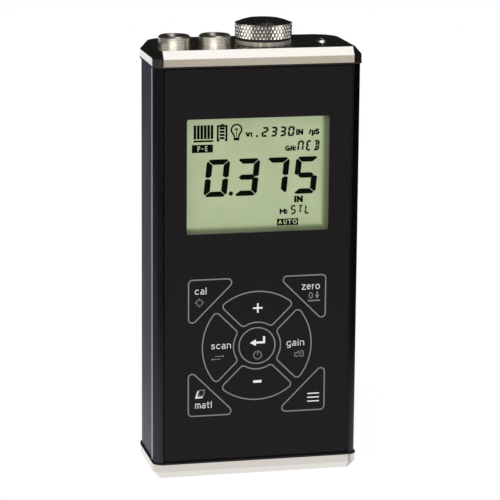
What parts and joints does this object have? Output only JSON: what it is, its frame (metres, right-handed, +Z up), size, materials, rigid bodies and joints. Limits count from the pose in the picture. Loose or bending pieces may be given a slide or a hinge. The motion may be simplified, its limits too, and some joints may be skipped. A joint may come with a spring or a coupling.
{
  "type": "ultrasonic thickness gauge",
  "caption": "Hand-held ultrasonic thickness gauge: black extruded case with nickel end caps, recessed display, membrane keypad, probe sockets and a knurled battery cap on top.",
  "frame": {"origin": "middle of the bottom face of the bottom end cap", "axes": "+X to the right of the display, +Y from the front panel to the back, +Z up to the battery cap"},
  "size_m": [0.0636, 0.0318, 0.1377],
  "materials": {
    "body_black": "black anodised, satin",
    "nickel": "nickel plated, satin",
    "steel": "bright",
    "rubber": "matt black",
    "overlay_film": "fine matt film",
    "key_film": "fine matt film",
    "clear_window": "clear and polished",
    "display_ground": "grey-green display glass",
    "display_frame": "dark olive, matt",
    "light_plate": "milky",
    "flex_film": "amber film",
    "plug_socket": "ivory",
    "board": "green, coated",
    "chip": "black, matt",
    "can": "satin",
    "insulator": "off-white",
    "contact": "gold coloured",
    "lead_jacket": "dark grey",
    "tube": "turned, satin",
    "tube_plug": "ivory",
    "cell_wrap": "plain wrap"
  },
  "bodies": {
    "case": {"housing": "body_black", "top_end_cap": "nickel", "bottom_end_cap": "nickel", "top_gasket": "rubber", "bottom_gasket": "rubber", "top_cap_screws": "steel", "bottom_cap_screws": "steel", "keypad_overlay": "overlay_film", "keypad_spacer": "chip", "keypad_circuit": "flex_film", "key_domes": "steel", "keypad_tail": "flex_film", "keypad_tail_socket": "plug_socket", "display_window": "clear_window", "display_bezel": "display_frame", "display_glass": "display_ground", "display_backlight": "light_plate", "display_ribbon": "flex_film", "display_ribbon_socket": "plug_socket", "main_board": "board", "board_chips": "chip", "board_capacitors": "can", "left_socket_shell": "nickel", "right_socket_shell": "nickel", "left_socket_insulator": "insulator", "right_socket_insulator": "insulator", "left_socket_contact": "contact", "right_socket_contact": "contact", "left_socket_nut": "nickel", "right_socket_nut": "nickel", "left_socket_lead": "lead_jacket", "right_socket_lead": "lead_jacket", "battery_tube": "tube", "battery_plug": "tube_plug", "battery_spring": "steel", "lower_cell": "cell_wrap", "upper_cell": "cell_wrap"},
    "key_cal": {"key_cal": "key_film"},
    "key_zero": {"key_zero": "key_film"},
    "key_material": {"key_material": "key_film"},
    "key_menu": {"key_menu": "key_film"},
    "key_plus": {"key_plus": "key_film"},
    "key_minus": {"key_minus": "key_film"},
    "key_scan": {"key_scan": "key_film"},
    "key_gain": {"key_gain": "key_film"},
    "key_enter": {"key_enter": "key_film"},
    "battery_cap_seal_ring": {"battery_cap_seal": "rubber"},
    "battery_cap_knob": {"battery_cap": "nickel"}
  },
  "joints": [
    {"name": "press_cal", "type": "slide", "parent": "case", "child": "key_cal", "axis": [0, 1, 0], "range_m": [0, 0.0003], "stiffness_N_per_m": 600},
    {"name": "press_zero", "type": "slide", "parent": "case", "child": "key_zero", "axis": [0, 1, 0], "range_m": [0, 0.0003], "stiffness_N_per_m": 600},
    {"name": "press_material", "type": "slide", "parent": "case", "child": "key_material", "axis": [0, 1, 0], "range_m": [0, 0.0003], "stiffness_N_per_m": 600},
    {"name": "press_menu", "type": "slide", "parent": "case", "child": "key_menu", "axis": [0, 1, 0], "range_m": [0, 0.0003], "stiffness_N_per_m": 600},
    {"name": "press_plus", "type": "slide", "parent": "case", "child": "key_plus", "axis": [0, 1, 0], "range_m": [0, 0.0003], "stiffness_N_per_m": 600},
    {"name": "press_minus", "type": "slide", "parent": "case", "child": "key_minus", "axis": [0, 1, 0], "range_m": [0, 0.0003], "stiffness_N_per_m": 600},
    {"name": "press_scan", "type": "slide", "parent": "case", "child": "key_scan", "axis": [0, 1, 0], "range_m": [0, 0.0003], "stiffness_N_per_m": 600},
    {"name": "press_gain", "type": "slide", "parent": "case", "child": "key_gain", "axis": [0, 1, 0], "range_m": [0, 0.0003], "stiffness_N_per_m": 600},
    {"name": "press_enter", "type": "slide", "parent": "case", "child": "key_enter", "axis": [0, 1, 0], "range_m": [0, 0.0003], "stiffness_N_per_m": 600},
    {"name": "cap_rise", "type": "slide", "parent": "case", "child": "battery_cap_seal_ring", "axis": [0, 0, 1], "range_m": [0, 0.003]},
    {"name": "cap_turn", "type": "hinge", "parent": "battery_cap_seal_ring", "child": "battery_cap_knob", "pos_m": [0.0051, 0.002, 0.135], "axis": [0, 0, 1], "range_deg": [0, 1081]}
  ],
  "couplings": [
    {"joint": "cap_turn", "follows": "cap_rise", "rad_per_m": 6283.2}
  ]
}
